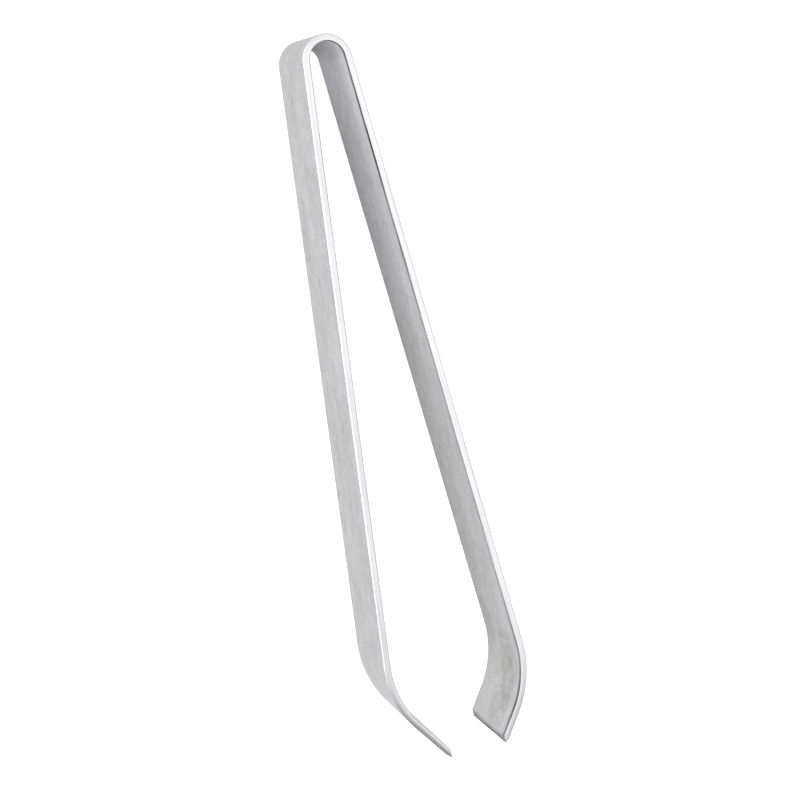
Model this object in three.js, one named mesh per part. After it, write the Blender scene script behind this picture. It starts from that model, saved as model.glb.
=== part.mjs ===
// Stamp tongs: one flat strip of spring stainless steel, bent edge-on into a tight bow,
// two straight arms that spread apart, a knee in each arm and two short blades whose ends
// are ground to a chisel edge, so that their inner flats meet when the arms are squeezed.
//
// Millimetres. The tongs lie on the strip's lower edge: +X to the right, +Y from the blades
// to the bow, +Z along the strip's width. The origin is the middle of the bounding box's base.
//
// The strip flexes as two springy lengths on each side, so it is parted at those flexures and
// where one form ends and the next begins. Neighbouring sections keep a narrow gap.
//
// The strip is hand-bent: its right knee lies a little further down than its left one, and the
// left blade is longer by almost as much, so that the two edges end nearly level.
import * as THREE from 'three';

// --- Driving dimensions ------------------------------------------------------------------
const TOTAL_LENGTH = 127;
const STRIP_WIDTH = 16;
const STRIP_THICKNESS = 1.2;
const BOW_RADIUS = 3.6; // to the middle of the strip's thickness, as all radii here
const ARM_SPREAD = THREE.MathUtils.degToRad(4.75); // each arm from the middle line, at rest
const KNEE_RADIUS = 19;
const KNEE_BEND = THREE.MathUtils.degToRad(39);
const KNEE_STAGGER = 3.2; // how much further down its arm the right knee begins
const RIGHT_BLADE_LENGTH = 5.8;
const EDGE_STAGGER = 0.7; // how much lower the right blade's edge ends

// The blades' chisel ends. The inner flats lie side by side once the arms are closed.
const CLOSING_TURN = THREE.MathUtils.degToRad(2.8); // each blade, from rest to closed
const INNER_GRIND_DEPTH = 0.85;
const OUTER_GRIND_DEPTH = 0.25;
const OUTER_GRIND_LENGTH = 1.3;

// Where the sections end, from the end of the bow's arc along the arm.
const BOW_SHANK = 4.5;
const FLEX_LENGTH = 34;
const SECTION_GAP = 0.3;

const BOW_ARC_STEPS = 32;
const KNEE_ARC_STEPS = 14;

// --- The strip's middle line ------------------------------------------------------------
const HALF = STRIP_THICKNESS / 2;
const BLADE_SLOPE = ARM_SPREAD - KNEE_BEND; // negative: the blades lean in
const EDGE_OFFSET = HALF - OUTER_GRIND_DEPTH; // the chisel edge's outer corner

// The right arm takes up what the other lengths leave of the total.
const RIGHT_ARM_LENGTH =
  (TOTAL_LENGTH -
    (BOW_RADIUS + HALF) +
    BOW_RADIUS * Math.sin(ARM_SPREAD) +
    KNEE_RADIUS * (Math.sin(BLADE_SLOPE) - Math.sin(ARM_SPREAD)) -
    RIGHT_BLADE_LENGTH * Math.cos(BLADE_SLOPE) +
    EDGE_OFFSET * Math.sin(BLADE_SLOPE)) /
  Math.cos(ARM_SPREAD);
const LEFT_ARM_LENGTH = RIGHT_ARM_LENGTH - KNEE_STAGGER;
const LEFT_BLADE_LENGTH =
  RIGHT_BLADE_LENGTH +
  (KNEE_STAGGER * Math.cos(ARM_SPREAD) - EDGE_STAGGER) / Math.cos(BLADE_SLOPE);

const ARM_START = BOW_RADIUS * (Math.PI / 2 - ARM_SPREAD); // distance from the crown to an arm
const KNEE_ARC = KNEE_RADIUS * KNEE_BEND;
const BOW_CENTRE_Y = TOTAL_LENGTH / 2 - BOW_RADIUS - HALF;

// The right knee stands out further than the left, so the bow lies left of the box's middle.
const BOW_CENTRE_X = (-KNEE_STAGGER * Math.sin(ARM_SPREAD)) / 2;

// One half of the strip: sign is 1 on the right, and distances run from the crown.
function layOut(sign, armLength, bladeLength) {
  const kneeStart = ARM_START + armLength;
  const bladeStart = kneeStart + KNEE_ARC;
  return { sign, armLength, kneeStart, bladeStart, bladeEnd: bladeStart + bladeLength };
}

const LEFT = layOut(-1, LEFT_ARM_LENGTH, LEFT_BLADE_LENGTH);
const RIGHT = layOut(1, RIGHT_ARM_LENGTH, RIGHT_BLADE_LENGTH);

// A point on an arc about (x, y), where angle is the direction of the strip's outer face.
function onArc(x, y, radius, angle) {
  return new THREE.Vector2(x + radius * Math.cos(angle), y + radius * Math.sin(angle));
}

// A step along the strip, where angle is again the direction of its outer face.
function along(point, angle, distance) {
  return new THREE.Vector2(
    point.x + distance * Math.sin(angle),
    point.y - distance * Math.cos(angle),
  );
}

// A point of one half at a distance from the crown and an offset towards the outer face. It is
// given as on the right, with x from the bow's middle.
function stripPoint(half, distance, offset) {
  if (distance <= ARM_START) {
    const angle = Math.PI / 2 - distance / BOW_RADIUS;
    return onArc(0, BOW_CENTRE_Y, BOW_RADIUS + offset, angle);
  }
  const armRoot = onArc(0, BOW_CENTRE_Y, BOW_RADIUS + offset, ARM_SPREAD);
  if (distance <= half.kneeStart) {
    return along(armRoot, ARM_SPREAD, distance - ARM_START);
  }
  const kneeCentre = along(
    onArc(0, BOW_CENTRE_Y, BOW_RADIUS - KNEE_RADIUS, ARM_SPREAD),
    ARM_SPREAD,
    half.armLength,
  );
  const turned = Math.min(distance - half.kneeStart, KNEE_ARC) / KNEE_RADIUS;
  const angle = ARM_SPREAD - turned;
  const bent = onArc(kneeCentre.x, kneeCentre.y, KNEE_RADIUS + offset, angle);
  return along(bent, angle, Math.max(distance - half.bladeStart, 0));
}

// --- Sections ---------------------------------------------------------------------------
function evenSteps(from, to, steps) {
  return Array.from({ length: steps + 1 }, (_, i) => from + ((to - from) * i) / steps);
}

// Extrudes a closed outline across the strip's width and mirrors it for the left side.
function acrossWidth(outline, sign) {
  const placed = outline.map((p) => new THREE.Vector2(BOW_CENTRE_X + sign * p.x, p.y));
  const shape = new THREE.Shape(placed);
  return new THREE.ExtrudeGeometry(shape, { depth: STRIP_WIDTH, bevelEnabled: false });
}

// A stretch of full thickness through the given distances from the crown.
function bandOutline(half, distances) {
  const outer = distances.map((d) => stripPoint(half, d, HALF));
  const inner = distances.map((d) => stripPoint(half, d, -HALF));
  return [...outer, ...inner.reverse()];
}

function bowOutline() {
  const shank = stripPoint(RIGHT, ARM_START + BOW_SHANK, HALF);
  const shankInner = stripPoint(RIGHT, ARM_START + BOW_SHANK, -HALF);
  const mirrored = (p) => new THREE.Vector2(-p.x, p.y);
  const arc = evenSteps(ARM_SPREAD, Math.PI - ARM_SPREAD, BOW_ARC_STEPS);
  return [
    shank,
    ...arc.map((angle) => onArc(0, BOW_CENTRE_Y, BOW_RADIUS + HALF, angle)),
    mirrored(shank),
    mirrored(shankInner),
    ...arc.reverse().map((angle) => onArc(0, BOW_CENTRE_Y, BOW_RADIUS - HALF, angle)),
    shankInner,
  ];
}

// The blade ends in a narrow land between a long inner flat and a low outer grind.
function bladeOutline(half) {
  const flatLength = INNER_GRIND_DEPTH / Math.tan(CLOSING_TURN - BLADE_SLOPE);
  const start = half.bladeStart + SECTION_GAP / 2;
  return [
    stripPoint(half, start, HALF),
    stripPoint(half, half.bladeEnd - OUTER_GRIND_LENGTH, HALF),
    stripPoint(half, half.bladeEnd, EDGE_OFFSET),
    stripPoint(half, half.bladeEnd, INNER_GRIND_DEPTH - HALF),
    stripPoint(half, half.bladeEnd - flatLength, -HALF),
    stripPoint(half, start, -HALF),
  ];
}

// --- Materials --------------------------------------------------------------------------
function steel(shade, roughness) {
  return new THREE.MeshStandardMaterial({
    color: new THREE.Color(shade, shade, shade * 1.01),
    roughness,
    metalness: 1,
  });
}

function section(name, outline, sign, material) {
  const mesh = new THREE.Mesh(acrossWidth(outline, sign), material);
  mesh.name = name;
  return mesh;
}

// --- The tongs --------------------------------------------------------------------------
function arm(name, half) {
  const group = new THREE.Group();
  const gap = SECTION_GAP / 2;
  const flexEnd = ARM_START + FLEX_LENGTH;
  const springArm = bandOutline(half, [ARM_START + BOW_SHANK + SECTION_GAP, flexEnd - gap]);
  const fingerGrip = bandOutline(half, [flexEnd + gap, half.kneeStart - gap]);
  const kneeSteps = evenSteps(half.kneeStart + gap, half.bladeStart - gap, KNEE_ARC_STEPS);
  group.add(
    section(`${name}_spring_arm`, springArm, half.sign, steel(0.76, 0.34)),
    section(`${name}_finger_grip`, fingerGrip, half.sign, steel(0.76, 0.36)),
    section(`${name}_knee`, bandOutline(half, kneeSteps), half.sign, steel(0.78, 0.3)),
    section(`${name}_blade`, bladeOutline(half), half.sign, steel(0.72, 0.32)),
  );
  return group;
}

const tongs = new THREE.Group();
tongs.add(section('bow', bowOutline(), 1, steel(0.78, 0.3)));
tongs.add(arm('left', LEFT));
tongs.add(arm('right', RIGHT));

export default tongs;
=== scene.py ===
"""Stamp tongs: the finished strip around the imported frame, its satin steel, floor and light.

Metres, in the frame of the CAD part: +Y from the blades to the bow, +Z up along the strip's
width. Every visible piece is a stretch of one steel strip, lofted along its middle line, and
stands for one CAD node.
"""
from collections import namedtuple
from functools import reduce
import math

import bmesh
import bpy
from mathutils import Matrix, Vector, noise


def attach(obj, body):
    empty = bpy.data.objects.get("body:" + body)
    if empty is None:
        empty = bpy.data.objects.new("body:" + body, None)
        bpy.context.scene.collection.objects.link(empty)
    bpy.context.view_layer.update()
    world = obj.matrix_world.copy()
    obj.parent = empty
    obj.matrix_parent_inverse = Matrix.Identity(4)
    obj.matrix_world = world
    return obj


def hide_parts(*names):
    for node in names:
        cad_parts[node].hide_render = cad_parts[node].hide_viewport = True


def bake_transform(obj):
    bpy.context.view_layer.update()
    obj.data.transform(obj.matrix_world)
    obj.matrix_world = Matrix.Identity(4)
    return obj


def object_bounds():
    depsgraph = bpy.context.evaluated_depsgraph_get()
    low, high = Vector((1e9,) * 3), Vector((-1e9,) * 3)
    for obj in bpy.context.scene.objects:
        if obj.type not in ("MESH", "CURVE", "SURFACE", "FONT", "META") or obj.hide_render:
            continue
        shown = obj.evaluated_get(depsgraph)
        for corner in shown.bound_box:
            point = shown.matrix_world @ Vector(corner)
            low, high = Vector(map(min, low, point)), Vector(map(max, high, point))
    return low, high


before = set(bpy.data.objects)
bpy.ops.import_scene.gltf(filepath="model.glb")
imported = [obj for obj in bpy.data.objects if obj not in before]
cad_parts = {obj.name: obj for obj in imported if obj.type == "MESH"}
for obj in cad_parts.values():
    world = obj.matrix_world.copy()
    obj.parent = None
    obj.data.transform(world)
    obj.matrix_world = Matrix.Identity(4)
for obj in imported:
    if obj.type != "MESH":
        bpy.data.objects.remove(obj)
cad_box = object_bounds()

MM = 0.001

# --- The strip's dimensions ----------------------------------------------------------------
LOWEST, HIGHEST = (Vector(corner) for corner in cad_box)
STRIP_WIDTH = HIGHEST.z - LOWEST.z
HALF = 0.6 * MM  # half of the strip's thickness
BOW_RADIUS = 3.6 * MM  # to the middle of the thickness, as all radii of the strip
ARM_SPREAD = math.radians(4.75)
KNEE_RADIUS = 19 * MM
KNEE_BEND = math.radians(39)
KNEE_STAGGER = 3.2 * MM  # how much further down its arm the right knee begins
RIGHT_BLADE_LENGTH = 5.8 * MM
EDGE_STAGGER = 0.7 * MM  # how much lower the right blade's edge ends
CLOSING_TURN = math.radians(2.8)
INNER_GRIND_DEPTH = 0.85 * MM
OUTER_GRIND_DEPTH = 0.25 * MM
OUTER_GRIND_LENGTH = 1.3 * MM
UPPER_FLEXURE = 4.65 * MM  # from the end of the bow's arc, down the arm
LOWER_FLEXURE = 34 * MM

BLADE_SLOPE = ARM_SPREAD - KNEE_BEND
KNEE_ARC = KNEE_RADIUS * KNEE_BEND
EDGE_OFFSET = HALF - OUTER_GRIND_DEPTH
INNER_GRIND_LENGTH = INNER_GRIND_DEPTH / math.tan(CLOSING_TURN - BLADE_SLOPE)
BOW_CENTRE_X = -KNEE_STAGGER * math.sin(ARM_SPREAD) / 2
BOW_CENTRE_Y = HIGHEST.y - BOW_RADIUS - HALF
ARM_START = BOW_RADIUS * (math.pi / 2 - ARM_SPREAD)
RIGHT_ARM_LENGTH = (
    (HIGHEST.y - LOWEST.y)
    - (BOW_RADIUS + HALF)
    + BOW_RADIUS * math.sin(ARM_SPREAD)
    + KNEE_RADIUS * (math.sin(BLADE_SLOPE) - math.sin(ARM_SPREAD))
    - RIGHT_BLADE_LENGTH * math.cos(BLADE_SLOPE)
    + EDGE_OFFSET * math.sin(BLADE_SLOPE)
) / math.cos(ARM_SPREAD)
LEFT_ARM_LENGTH = RIGHT_ARM_LENGTH - KNEE_STAGGER
LEFT_BLADE_LENGTH = RIGHT_BLADE_LENGTH + (
    KNEE_STAGGER * math.cos(ARM_SPREAD) - EDGE_STAGGER
) / math.cos(BLADE_SLOPE)

Half = namedtuple("Half", "side arm_length knee_start blade_start blade_end")


def lay_out(side, arm_length, blade_length):
    """One half of the strip: side is 1 on the right, and distances run from the crown."""
    knee_start = ARM_START + arm_length
    blade_start = knee_start + KNEE_ARC
    return Half(side, arm_length, knee_start, blade_start, blade_start + blade_length)


LEFT = lay_out(-1, LEFT_ARM_LENGTH, LEFT_BLADE_LENGTH)
RIGHT = lay_out(1, RIGHT_ARM_LENGTH, RIGHT_BLADE_LENGTH)

# The tumbled corners between the strip's flat faces and its narrow edges.
OUTER_ARRIS = 0.21 * MM
INNER_ARRIS = 0.18 * MM
ARRIS_SHARE = 0.42  # an arris takes no more of the thickness than this where it is ground thin
ARRIS_STEPS = 5
SUPPORT = 0.06 * MM  # a line of points this near each arris keeps the faces flat
SUPPORT_SHARE = 0.3  # or this share of the way, where a face is narrower
FACE_STEPS = 12
EDGE_STEPS = 2
SOFT_LINE = 0.04 * MM  # half the width of the lines where the grinding starts
GRIND_FADE = 0.1 * MM  # the steel turns from drawn to ground this far before the inner line

# Small dents along the arrises, in short deep ones and long shallow ones.
NICK_DEPTH = 0.035 * MM
NICK_LENGTH = 0.9 * MM
DENT_LENGTH = 4 * MM
DENT_SHARE = 0.4  # the depth of the shallow dents, of NICK_DEPTH
DENT_HEIGHT = 5 * MM
NICK_THRESHOLD = 0.25
DENT_SEED = 7

# The bow's stretched outer side draws in at its edges.
BOW_TAPER = 0.1 * MM
TAPER_START = ARM_START - 1.5 * MM  # where the taper begins to fade along the strip,
TAPER_END = ARM_START + 1 * MM  # and where it is gone
TAPER_EDGE = 0.36  # how far from the middle of the width it begins, as a share of the width

# Lengths between the lofted sections.
BOW_STEP = 0.12 * MM
ARM_STEP = 0.45 * MM
KNEE_STEP = 0.3 * MM
BLADE_STEP = 0.4 * MM


# --- The strip's shape ---------------------------------------------------------------------
def on_arc(x, y, radius, angle):
    """A point on an arc about (x, y), where angle is the direction of the strip's outer face."""
    return Vector((x + radius * math.cos(angle), y + radius * math.sin(angle)))


def down_arm(point, angle, distance):
    """A step along the strip, where angle is again the direction of its outer face."""
    return point + Vector((math.sin(angle), -math.cos(angle))) * distance


def middle_line(half, distance):
    """(point, direction of the outer face) at a distance from the crown, given as on the right."""
    if distance <= ARM_START:
        angle = math.pi / 2 - distance / BOW_RADIUS
        return on_arc(0, BOW_CENTRE_Y, BOW_RADIUS, angle), angle
    root = on_arc(0, BOW_CENTRE_Y, BOW_RADIUS, ARM_SPREAD)
    if distance <= half.knee_start:
        return down_arm(root, ARM_SPREAD, distance - ARM_START), ARM_SPREAD
    inward = on_arc(0, BOW_CENTRE_Y, BOW_RADIUS - KNEE_RADIUS, ARM_SPREAD)
    centre = down_arm(inward, ARM_SPREAD, half.arm_length)
    angle = ARM_SPREAD - min(distance - half.knee_start, KNEE_ARC) / KNEE_RADIUS
    bent = on_arc(centre.x, centre.y, KNEE_RADIUS, angle)
    return down_arm(bent, angle, max(distance - half.blade_start, 0)), angle


def share(value, start, end):
    """How far value is from start to end, from 0 to 1."""
    return min(max((value - start) / (end - start), 0), 1)


def half_of(signed):
    """The half of the strip that a signed distance lies on: negative ones are on the left."""
    return LEFT if signed < 0 else RIGHT


def face_offsets(signed):
    """Where the inner and the outer face lie, from the middle line outwards."""
    end = half_of(signed).blade_end
    inner = share(abs(signed), end - INNER_GRIND_LENGTH, end)
    outer = share(abs(signed), end - OUTER_GRIND_LENGTH, end)
    return INNER_GRIND_DEPTH * inner - HALF, HALF - OUTER_GRIND_DEPTH * outer


def between(start, end, steps, support):
    """Points strictly between two points, with a supporting one near each end."""
    along = end - start
    near = min(support / along.length, SUPPORT_SHARE)
    shares = [near + (1 - 2 * near) * i / steps for i in range(steps + 1)]
    return [start + along * s for s in shares]


def section(signed):
    """Points as (offset, height, band), where band is 1 on the narrow edges and 0 on the faces."""
    inner, outer = face_offsets(signed)
    thickness = outer - inner
    round_out = min(OUTER_ARRIS, ARRIS_SHARE * thickness)
    round_in = min(INNER_ARRIS, ARRIS_SHARE * thickness)
    corners = (
        (outer - round_out, round_out, round_out, -90),
        (outer - round_out, STRIP_WIDTH - round_out, round_out, 0),
        (inner + round_in, STRIP_WIDTH - round_in, round_in, 90),
        (inner + round_in, round_in, round_in, 180),
    )
    arcs = []
    for x, z, radius, start in corners:
        turns = [math.radians(start + 90 * i / ARRIS_STEPS) for i in range(ARRIS_STEPS + 1)]
        arcs.append([Vector((x + radius * math.cos(a), z + radius * math.sin(a))) for a in turns])
    points = []
    for i, arc in enumerate(arcs):
        rising = i % 2 == 0  # an arc that runs from a narrow edge to a face
        for step, p in enumerate(arc):
            band = 1 - step / ARRIS_STEPS if rising else step / ARRIS_STEPS
            points.append((p.x, p.y, band))
        steps, band = (FACE_STEPS, 0) if rising else (EDGE_STEPS, 1)
        straight = between(arc[-1], arcs[(i + 1) % len(arcs)][0], steps, SUPPORT)
        points += [(p.x, p.y, band) for p in straight]
    return points


def nick(distance, offset, height):
    """Depth of the small dents along the arrises."""
    across, up = offset / HALF, height / DENT_HEIGHT
    short = noise.noise(Vector((distance / NICK_LENGTH, across, up)))
    long = noise.noise(Vector((distance / DENT_LENGTH, across + DENT_SEED, up)))
    return NICK_DEPTH * (max(short - NICK_THRESHOLD, 0) + DENT_SHARE * max(long, 0))


def strip_point(signed, offset, height, band):
    """A point of the strip in the part's frame."""
    half = half_of(signed)
    distance = abs(signed)
    middle, angle = middle_line(half, distance)
    inwards = math.sin(band * math.pi) * nick(signed, offset, height)
    offset -= math.copysign(inwards, offset)
    bow = 1 - share(distance, TAPER_START, TAPER_END)
    from_middle = height / STRIP_WIDTH - 0.5
    edge = share(abs(from_middle), TAPER_EDGE, 0.5)
    drawn_in = BOW_TAPER * bow * edge**2 * (offset / HALF + 1) / 2
    height -= math.copysign(drawn_in, from_middle)
    point = middle + Vector((math.cos(angle), math.sin(angle))) * offset
    return Vector((BOW_CENTRE_X + half.side * point.x, point.y, LOWEST.z + height))


def strip_piece(name, distances):
    """A closed mesh of the strip through signed distances, which keeps each point's place."""
    rings = [(d, section(d)) for d in distances]
    count = len(rings[0][1])
    mesh = bmesh.new()
    verts = [[mesh.verts.new(strip_point(d, *p)) for p in points] for d, points in rings]
    for ring, following in zip(verts, verts[1:]):
        for i in range(count):
            j = (i + 1) % count
            mesh.faces.new((ring[i], ring[j], following[j], following[i]))
    for ring in (verts[0], verts[-1]):
        cap = mesh.faces.new(ring)
        for edge in cap.edges:
            edge.smooth = False
    bmesh.ops.recalc_face_normals(mesh, faces=mesh.faces)
    for face in mesh.faces:
        face.smooth = len(face.verts) == 4
    data = bpy.data.meshes.new(name)
    mesh.to_mesh(data)
    mesh.free()
    places, bands, grounds = [], [], []
    for d, points in rings:
        grind_start = half_of(d).blade_end - INNER_GRIND_LENGTH
        worked = share(abs(d), grind_start - GRIND_FADE, grind_start)
        for offset, height, edge in points:
            places += (d, height, offset)
            bands.append(edge)
            grounds.append(worked)
    data.attributes.new("place", "FLOAT_VECTOR", "POINT").data.foreach_set("vector", places)
    data.attributes.new("band", "FLOAT", "POINT").data.foreach_set("value", bands)
    data.attributes.new("ground", "FLOAT", "POINT").data.foreach_set("value", grounds)
    piece = bpy.data.objects.new(name, data)
    bpy.context.scene.collection.objects.link(piece)
    return piece


def stretch(start, end, step):
    """Even distances from start to end, about a step apart."""
    steps = max(round((end - start) / step), 1)
    return [start + (end - start) * i / steps for i in range(steps + 1)]


def blade_distances(half):
    """The blade's distances, with a close pair at each line where the grinding starts."""
    lines = [half.blade_end - OUTER_GRIND_LENGTH, half.blade_end - INNER_GRIND_LENGTH]
    plain = stretch(half.blade_start, half.blade_end, BLADE_STEP)
    clear = [d for d in plain if all(abs(d - line) > 2 * SOFT_LINE for line in lines)]
    pairs = [line + shift for line in lines for shift in (-SOFT_LINE, SOFT_LINE)]
    return sorted(clear + pairs)


# --- Materials -----------------------------------------------------------------------------
class Nodes:
    """A short way to write a material's node tree."""

    def __init__(self, name):
        self.material = bpy.data.materials.new(name)
        self.material.use_nodes = True
        self.tree = self.material.node_tree
        self.shader = self.tree.nodes["Principled BSDF"]

    def new(self, kind, settings=None, **inputs):
        node = self.tree.nodes.new(kind)
        for key, value in (settings or {}).items():
            setattr(node, key, value)
        for key, value in inputs.items():
            self.feed(node.inputs[key.replace("_", " ")], value)
        return node

    def feed(self, socket, value):
        if isinstance(value, bpy.types.NodeSocket):
            self.tree.links.new(value, socket)
        else:
            socket.default_value = value

    def math(self, operation, a, b=0.0):
        node = self.tree.nodes.new("ShaderNodeMath")
        node.operation = operation
        self.feed(node.inputs[0], a)
        self.feed(node.inputs[1], b)
        return node.outputs[0]

    def add(self, *values):
        return reduce(lambda a, b: self.math("ADD", a, b), values)

    def times(self, *values):
        return reduce(lambda a, b: self.math("MULTIPLY", a, b), values)

    def less(self, a, b):
        return self.math("SUBTRACT", a, b)

    def attribute(self, name, output):
        return self.new("ShaderNodeAttribute", {"attribute_name": name}).outputs[output]

    def noise(self, vector, scale, detail=3.0, roughness=0.5):
        settings = {"Scale": scale, "Detail": detail, "Roughness": roughness}
        return self.new("ShaderNodeTexNoise", Vector=vector, **settings).outputs["Fac"]

    def stretched_noise(self, vector, scales, detail, roughness=0.5):
        """Noise with a scale of its own along the strip, across its width and through it."""
        mapping = self.new("ShaderNodeMapping", Vector=vector, Scale=scales)
        return self.noise(mapping.outputs["Vector"], 1, detail, roughness)

    def ramp(self, value, low, high, to_low=0.0, to_high=1.0):
        """value from low to high, mapped to to_low and to_high and held beyond them."""
        node = self.new("ShaderNodeMapRange", Value=value)
        for key, number in zip(("From Min", "From Max", "To Min", "To Max"), (low, high, to_low, to_high)):
            node.inputs[key].default_value = number
        return node.outputs["Result"]

    def swing(self, value, low, high, amount):
        """value from low to high, mapped evenly to either side of zero."""
        return self.ramp(value, low, high, -amount, amount)

    def mix(self, share, a, b):
        node = self.new("ShaderNodeMix", {"data_type": "RGBA"})
        self.feed(node.inputs["Factor"], share)
        self.feed(node.inputs["A"], a)
        self.feed(node.inputs["B"], b)
        return node.outputs["Result"]

    def scale_colour(self, colour, amount):
        node = self.new("ShaderNodeVectorMath", {"operation": "SCALE"}, Scale=amount)
        self.feed(node.inputs[0], colour)
        return node.outputs[0]


FACE_STEEL = (0.456, 0.453, 0.461, 1)
INNER_BOW_STEEL = (0.456, 0.450, 0.473, 1)
EDGE_STEEL = (0.757, 0.755, 0.772)
GRIME = (0.045, 0.045, 0.05, 1)
STAIN = (0.208, 0.199, 0.168, 1)
METALLIC = 0.8

# Tones of the faces, as shares of FACE_STEEL added to it or taken from it.
SMUDGE_TONE = 0.07
STREAK_TONE = 0.06
FINE_STREAK_TONE = 0.05
MOTTLE_TONE = 0.06
SPECK_DARKNESS = 0.2
OUTSIDE_SHADE = -0.235
RUBBED_SHADE = 0.1
# A painted highlight: the left blade's inner face is painted paler.
LEFT_BLADE_PAINTED_LIGHT = 0.3
GROUND_DARKEST = -0.68
GROUND_PALEST = -0.13

# Tones of the narrow edges, as shares of EDGE_STEEL.
EDGE_SHADE = 0.98
EDGE_DULLED = 0.34
EDGE_DULLED_MORE = 0.16  # on the left, on top of EDGE_DULLED
LEFT_EDGE_FADE = 0.07

# What changes down the strip, each as (from, to, value before, value beyond). The distances
# are those that find_place calls down.
# Painted shade and light on the inner faces: the back edge painted darker and the front paler, most near
# the bow, a painted shade in the bow's crown and down the arms, and a painted highlight just inside the
# bow.
FRONT_PAINTED_LIGHT = (5 * MM, 75 * MM, 0.87, 0.30)  # how much paler inner faces are at the front
ARM_PAINTED_SHADE = (5 * MM, 60 * MM, -0.03, -0.30)
CROWN_PAINTED_SHADE = (1 * MM, 6 * MM, -0.42, 0.30)
PAINTED_HIGHLIGHT_FADE = (8 * MM, 20 * MM, 0.0, -0.20)  # where the pale place just inside the bow dies away
BLUE_FADE = (10 * MM, 55 * MM, 1.0, 0.0)
EDGE_FADE = (12 * MM, 95 * MM, 0.0, 0.11)
BOW_GRIME = (25 * MM, 60 * MM, 1.0, 0.42)
BLADE_GRIME = (88 * MM, 112 * MM, 0.0, 0.8)

# The same through the strip's thickness, by the offset from its middle. Where no values are
# given, they are 0 and 1.
INNER_FACE = (-0.5 * MM, -0.35 * MM, 1.0, 0.0)
INNER_CORNER = (-0.34 * MM, -0.42 * MM)
OUTER_CORNER = (0.3 * MM, 0.38 * MM)
DULLED_SIDE = (-0.4 * MM, 0.2 * MM)

# The line of grime along the inner corners, and the fainter one along the outer ones.
GRIME_WIDTH = 0.85 * MM
GRIME_CORE = 0.4 * MM
BACK_GRIME = 0.15  # how much of it lies along the back edge,
LEFT_GRIME = 0.5  # and on the left arm
OUTER_GRIME = 0.2

# The worst stained patch: its middle along the strip and across it, and how far it reaches.
STAIN_PLACE = RIGHT.blade_start - 5 * MM
STAIN_REACH = 9.5 * MM
STAIN_HEIGHT = 10 * MM
STAIN_SPREAD = 4.8 * MM

SMOOTHEST = 0.48
ROUGHEST = 0.58
STAIN_ROUGHNESS = 0.1
EDGE_ROUGHNESS = -0.18  # the tumbled edges are smoother than the faces
GRIME_ROUGHNESS = 0.35

BUMP_STRENGTH = 0.4
BUMP_DEPTH = 0.008 * MM
PIT_SHARE = 0.35

At = namedtuple("At", "place band ground distance height offset left down inside rubbed")
Grain = namedtuple("Grain", "streaks fine_streaks smudges mottle specks grind_lines pits")


def find_place(n):
    """Where on the strip the nodes are, from what strip_piece keeps with each point."""
    place = n.attribute("place", "Vector")
    parts = n.new("ShaderNodeSeparateXYZ", Vector=place)
    distance, height, offset = (parts.outputs[axis] for axis in "XYZ")
    left = n.ramp(distance, -1 * MM, 1 * MM, 1.0, 0.0)
    # Distance from the crown, measured so that both knees begin at the same one.
    down = n.add(n.math("ABSOLUTE", distance), n.times(left, KNEE_STAGGER))
    return At(
        place=place,
        band=n.attribute("band", "Fac"),
        ground=n.attribute("ground", "Fac"),
        distance=distance,
        height=height,
        offset=offset,
        left=left,
        down=down,
        inside=n.ramp(offset, *INNER_FACE),
        rubbed=n.ramp(down, RIGHT.knee_start, RIGHT.blade_start),
    )


def make_grain(n, place):
    """The steel's marks. Streaks are drawn out along the strip, grinding lines across it."""
    return Grain(
        streaks=n.stretched_noise(place, scales=(60, 2200, 2200), detail=4, roughness=0.6),
        fine_streaks=n.stretched_noise(place, scales=(220, 5200, 5200), detail=3),
        smudges=n.stretched_noise(place, scales=(80, 260, 260), detail=3),
        mottle=n.noise(place, 700, detail=4, roughness=0.65),
        specks=n.stretched_noise(place, scales=(380, 620, 620), detail=1),
        grind_lines=n.stretched_noise(place, scales=(3800, 60, 60), detail=4, roughness=0.6),
        pits=n.noise(place, 5200, detail=2),
    )


def inner_painted_shading(n, at):
    """Painted shade and light on the inner faces: a painted shade, dark in the bow's crown and down the
    arms, the back painted darker than the paler front, a painted highlight just inside the bow, and the
    blades paler.
    """
    across_face = n.swing(at.height, 0.0, STRIP_WIDTH, 0.5)
    # Painted shade and light across and down the inner faces, faded out towards the blades.
    painted_shade_and_light = n.add(
        n.times(across_face, n.ramp(at.down, *FRONT_PAINTED_LIGHT)),
        n.ramp(at.down, *ARM_PAINTED_SHADE),
        n.ramp(at.down, *CROWN_PAINTED_SHADE),
        n.ramp(at.down, *PAINTED_HIGHLIGHT_FADE),
    )
    return n.add(
        n.times(painted_shade_and_light, n.less(1.0, at.rubbed)),
        n.times(at.rubbed, RUBBED_SHADE),
        n.times(at.rubbed, at.left, LEFT_BLADE_PAINTED_LIGHT),
    )


def face_colour(n, at, grain):
    """The wide faces: one steel in many tones, a shade bluer on the inside near the bow."""
    tone = n.add(
        n.swing(grain.smudges, 0.32, 0.68, SMUDGE_TONE),
        n.swing(grain.streaks, 0.3, 0.7, STREAK_TONE),
        n.swing(grain.mottle, 0.35, 0.65, MOTTLE_TONE),
        n.swing(grain.fine_streaks, 0.3, 0.7, FINE_STREAK_TONE),
        n.ramp(grain.specks, 0.69, 0.80, 0.0, -SPECK_DARKNESS),
    )
    grinding = n.ramp(grain.grind_lines, 0.38, 0.62, GROUND_DARKEST, GROUND_PALEST)
    shade = n.add(
        1.0,
        tone,
        # The inner faces' painted shade and light.
        n.times(inner_painted_shading(n, at), at.inside),
        n.times(n.less(1.0, at.inside), OUTSIDE_SHADE),
        n.times(at.ground, grinding),
    )
    bluer = n.times(at.inside, n.ramp(at.down, *BLUE_FADE))
    return n.scale_colour(n.mix(bluer, FACE_STEEL, INNER_BOW_STEEL), shade)


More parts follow.
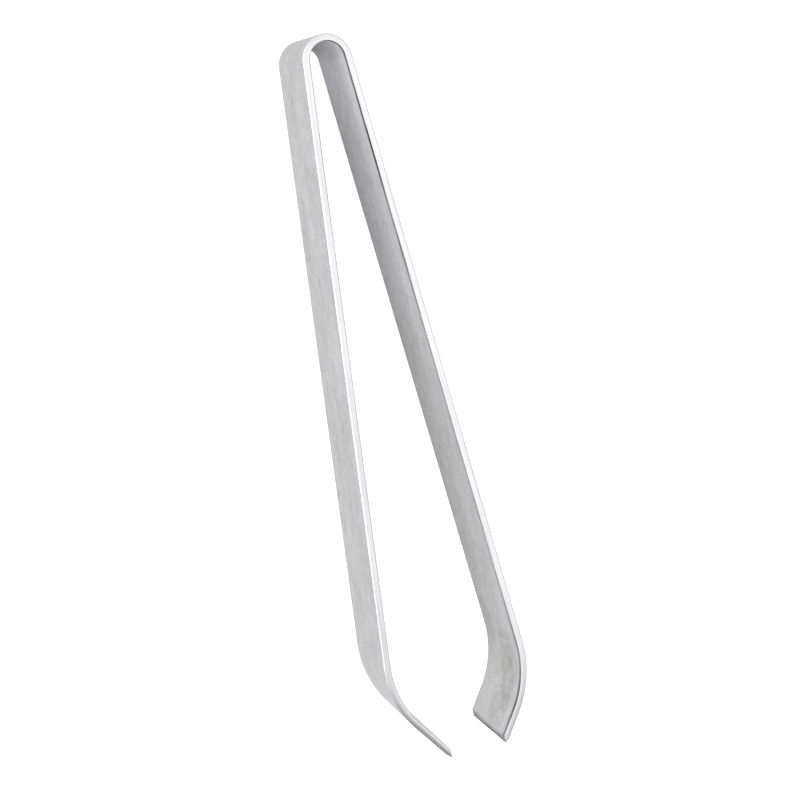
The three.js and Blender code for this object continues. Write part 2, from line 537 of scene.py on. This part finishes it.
def edge_colour(n, at, grain):
    """The narrow edges: bright by the bow, duller down the arms and most of all at the blades."""
    dulled = n.times(
        at.rubbed,
        n.add(EDGE_DULLED, n.times(at.left, EDGE_DULLED_MORE)),
        n.ramp(at.offset, *DULLED_SIDE),
    )
    shade = n.less(EDGE_SHADE, dulled)
    shade = n.less(shade, n.ramp(at.down, *EDGE_FADE))
    shade = n.less(shade, n.times(at.left, LEFT_EDGE_FADE))
    shade = n.add(shade, n.ramp(grain.streaks, 0.3, 0.7, -0.11, 0.08))
    return n.scale_colour(EDGE_STEEL, shade)


def inner_grime(n, at, grain):
    """Grime along the inner corners: heaviest by the bow and at the right blade."""
    from_middle = n.math("ABSOLUTE", n.less(at.height, STRIP_WIDTH / 2))
    right = n.less(1.0, at.left)
    corner = n.times(
        n.ramp(from_middle, STRIP_WIDTH / 2 - GRIME_WIDTH, STRIP_WIDTH / 2 - GRIME_CORE),
        n.ramp(at.offset, *INNER_CORNER),
        n.ramp(at.band, 0.7, 0.95, 1.0, 0.0),
        n.ramp(at.height, 0.0, STRIP_WIDTH, BACK_GRIME, 1.0),
        n.less(1.0, n.times(at.left, LEFT_GRIME)),
    )
    by_blade = n.times(n.ramp(at.down, *BLADE_GRIME), right)
    weight = n.math("MAXIMUM", n.ramp(at.down, *BOW_GRIME), by_blade)
    weight = n.times(weight, n.ramp(grain.smudges, 0.3, 0.6, 0.7, 1.05))
    return n.times(corner, weight, n.less(1.0, n.times(at.rubbed, at.left)))


def stain_share(n, at, stains):
    """Stains on the inner face: blotches in one patch by the right blade, and a few elsewhere."""
    along = n.math("DIVIDE", n.less(at.distance, STAIN_PLACE), STAIN_REACH)
    across = n.math("DIVIDE", n.less(at.height, STAIN_HEIGHT), STAIN_SPREAD)
    patch = n.ramp(n.add(n.times(along, along), n.times(across, across)), 0.2, 1.3, 1.0, 0.0)
    blotches = n.ramp(n.noise(at.place, 520, detail=5, roughness=0.7), 0.38, 0.66, 0.15, 1.0)
    scattered = n.ramp(n.noise(at.place, 420, detail=5, roughness=0.65), 0.55, 0.7, 0.0, 0.5)
    return n.times(n.math("MAXIMUM", n.times(patch, blotches), scattered), at.inside, stains)


def add_relief(n, at, grain):
    """Streaks or grinding lines, with small pits, felt as a fine bump."""
    lines = n.new("ShaderNodeMix", {"data_type": "FLOAT"})
    n.feed(lines.inputs["Factor"], at.ground)
    n.feed(lines.inputs["A"], grain.streaks)
    n.feed(lines.inputs["B"], grain.grind_lines)
    relief = n.add(lines.outputs["Result"], n.times(grain.pits, PIT_SHARE))
    bump = n.new("ShaderNodeBump", Strength=BUMP_STRENGTH, Distance=BUMP_DEPTH, Height=relief)
    n.feed(n.shader.inputs["Normal"], bump.outputs["Normal"])


def satin_steel(name, stains):
    """Rolled stainless strip: satin along its length, its narrow edges bright, worn and stained."""
    n = Nodes(name)
    at = find_place(n)
    grain = make_grain(n, at.place)

    by_outside = n.ramp(at.offset, *OUTER_CORNER)
    edge = n.math("MAXIMUM", at.band, n.times(by_outside, n.ramp(at.band, 0.1, 0.6)))
    steel = n.mix(edge, face_colour(n, at, grain), edge_colour(n, at, grain))
    grime = inner_grime(n, at, grain)
    steel = n.mix(grime, steel, GRIME)
    outer_line = n.times(n.ramp(at.band, 0.35, 0.6), n.ramp(at.band, 0.8, 1.0, 1.0, 0.0), by_outside)
    steel = n.mix(n.times(outer_line, OUTER_GRIME), steel, GRIME)
    stained = stain_share(n, at, stains)
    n.feed(n.shader.inputs["Base Color"], n.mix(stained, steel, STAIN))
    n.shader.inputs["Metallic"].default_value = METALLIC

    rough = n.add(
        n.ramp(grain.smudges, 0.3, 0.7, SMOOTHEST, ROUGHEST),
        n.ramp(grain.streaks, 0.3, 0.7, -0.03, 0.04),
        n.times(stained, STAIN_ROUGHNESS),
        n.times(at.band, EDGE_ROUGHNESS),
        n.times(grime, GRIME_ROUGHNESS),
    )
    n.feed(n.shader.inputs["Roughness"], rough)
    add_relief(n, at, grain)
    return n.material


FLOOR_TONES = ((0.21, 0.21, 0.21, 1), (0.23, 0.23, 0.23, 1))
FLOOR_GRAIN_SCALE = 40
FLOOR_GLOW = 0.93


def pale_floor_paint():
    """A pale table top that glows evenly, its own colour dim so that shadows on it stay faint."""
    n = Nodes("pale_floor_paint")
    grain = n.noise(n.new("ShaderNodeTexCoord").outputs["Object"], FLOOR_GRAIN_SCALE)
    n.feed(n.shader.inputs["Base Color"], n.mix(n.ramp(grain, 0.3, 0.7), *FLOOR_TONES))
    n.shader.inputs["Roughness"].default_value = 0.9
    n.shader.inputs["Emission Color"].default_value = (1, 1, 1, 1)
    n.shader.inputs["Emission Strength"].default_value = FLOOR_GLOW
    return n.material


# --- The tongs' pieces ---------------------------------------------------------------------
STEELS = {
    "bow_steel": satin_steel("bow_steel", stains=0.0),
    "arm_steel": satin_steel("arm_steel", stains=0.5),
    "blade_steel": satin_steel("blade_steel", stains=0.75),
}


def finish_piece(piece, node, slot):
    piece.data.materials.append(STEELS[slot])
    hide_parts(node)


def build_bow():
    end = ARM_START + UPPER_FLEXURE
    arc = stretch(-ARM_START, ARM_START, BOW_STEP)
    left_shank = stretch(-end, -ARM_START, ARM_STEP)
    right_shank = stretch(ARM_START, end, ARM_STEP)
    bow = strip_piece("bow_strip", left_shank[:-1] + arc + right_shank[1:])
    finish_piece(bow, "bow", "bow_steel")
    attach(bow, "bow")


def build_side(name, half):
    """One arm's four pieces: the springing ones are baked into the part's frame, the knee and the blade
    hang from the jaw.
    """

    def piece(part, distances, slot):
        made = strip_piece(f"{name}_{part}_strip", sorted(half.side * d for d in distances))
        finish_piece(made, f"{name}_{part}", slot)
        return made

    upper = ARM_START + UPPER_FLEXURE
    lower = ARM_START + LOWER_FLEXURE
    spring_arm = piece("spring_arm", stretch(upper, lower, ARM_STEP), "arm_steel")
    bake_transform(spring_arm)
    finger_grip = piece("finger_grip", stretch(lower, half.knee_start, ARM_STEP), "arm_steel")
    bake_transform(finger_grip)
    knee = piece("knee", stretch(half.knee_start, half.blade_start, KNEE_STEP), "arm_steel")
    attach(knee, f"{name}_jaw")
    blade = piece("blade", blade_distances(half), "blade_steel")
    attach(blade, f"{name}_jaw")


build_bow()
build_side("left", LEFT)
build_side("right", RIGHT)


# --- Floor, light and camera ---------------------------------------------------------------
FLOOR_HALF = 6.0
FLOOR_DROP = 0.02 * MM  # the floor lies this far below the tongs, so that the two don't touch
BOX_SIZE = 0.5
BOX_DISTANCE = 0.6
HORIZON_LIGHT = 0.55
OVERHEAD_LIGHT = 1.0
OVERHEAD_HEIGHT = 0.8  # a direction that rises this much, of 1, gets all of the overhead light


def build_floor():
    data = bpy.data.meshes.new("pale_floor")
    low = LOWEST.z - FLOOR_DROP
    corners = [(-1, -1), (1, -1), (1, 1), (-1, 1)]
    data.from_pydata([(x * FLOOR_HALF, y * FLOOR_HALF, low) for x, y in corners], [], [(0, 1, 2, 3)])
    data.materials.append(pale_floor_paint())
    floor = bpy.data.objects.new("pale_floor", data)
    bpy.context.scene.collection.objects.link(floor)


def soft_box(name, direction, radiance):
    """A square lamp that faces the tongs, as bright as a surface of that radiance."""
    data = bpy.data.lights.new(name, "AREA")
    data.shape = "SQUARE"
    data.size = BOX_SIZE
    data.energy = radiance * math.pi * BOX_SIZE**2
    lamp = bpy.data.objects.new(name, data)
    towards = Vector(direction).normalized()
    lamp.location = towards * BOX_DISTANCE
    lamp.rotation_euler = towards.to_track_quat("Z", "Y").to_euler()
    bpy.context.scene.collection.objects.link(lamp)


def build_world():
    """Soft daylight, brighter overhead than at the horizon."""
    world = bpy.data.worlds.new("studio")
    bpy.context.scene.world = world
    world.use_nodes = True
    nodes, links = world.node_tree.nodes, world.node_tree.links
    sky = nodes["Background"]
    coordinates = nodes.new("ShaderNodeTexCoord")
    parts = nodes.new("ShaderNodeSeparateXYZ")
    rise = nodes.new("ShaderNodeMapRange")
    rise.inputs["From Min"].default_value = 0.0
    rise.inputs["From Max"].default_value = OVERHEAD_HEIGHT
    rise.inputs["To Min"].default_value = HORIZON_LIGHT
    rise.inputs["To Max"].default_value = OVERHEAD_LIGHT
    links.new(coordinates.outputs["Generated"], parts.inputs["Vector"])
    links.new(parts.outputs["Z"], rise.inputs["Value"])
    links.new(rise.outputs["Result"], sky.inputs["Strength"])
    sky.inputs["Color"].default_value = (0.99, 0.99, 1.0, 1)


CAMERA_AIM = Vector((2.247, -0.008, 8.0)) * MM
CAMERA_DISTANCE = 291.1 * MM
CAMERA_AZIMUTH = math.radians(144.84)  # anticlockwise from +X, seen from above
CAMERA_ELEVATION = math.radians(70.26)
CAMERA_ROLL = math.radians(-11.94)
CAMERA_LENS_MM = 75.18


def build_camera():
    data = bpy.data.cameras.new("camera")
    data.sensor_width = 36
    data.lens = CAMERA_LENS_MM
    data.clip_start = 0.01
    level = math.cos(CAMERA_ELEVATION)
    back = Vector((math.cos(CAMERA_AZIMUTH), math.sin(CAMERA_AZIMUTH), 0)) * level
    back.z = math.sin(CAMERA_ELEVATION)
    right = Vector((0, 1, 0)).cross(back).normalized()
    up = back.cross(right)
    turned_right = right * math.cos(CAMERA_ROLL) + up * math.sin(CAMERA_ROLL)
    turned_up = back.cross(turned_right)
    camera = bpy.data.objects.new("camera", data)
    axes = Matrix((turned_right, turned_up, back)).transposed().to_4x4()
    camera.matrix_world = Matrix.Translation(CAMERA_AIM + back * CAMERA_DISTANCE) @ axes
    bpy.context.scene.collection.objects.link(camera)
    bpy.context.scene.camera = camera


build_floor()
build_world()
soft_box("overhead_box", direction=(0.35, -0.18, 0.92), radiance=0.3)
soft_box("left_box", direction=(-0.75, 0.12, 0.65), radiance=7.0)
build_camera()
bpy.context.scene.view_settings.view_transform = "Standard"
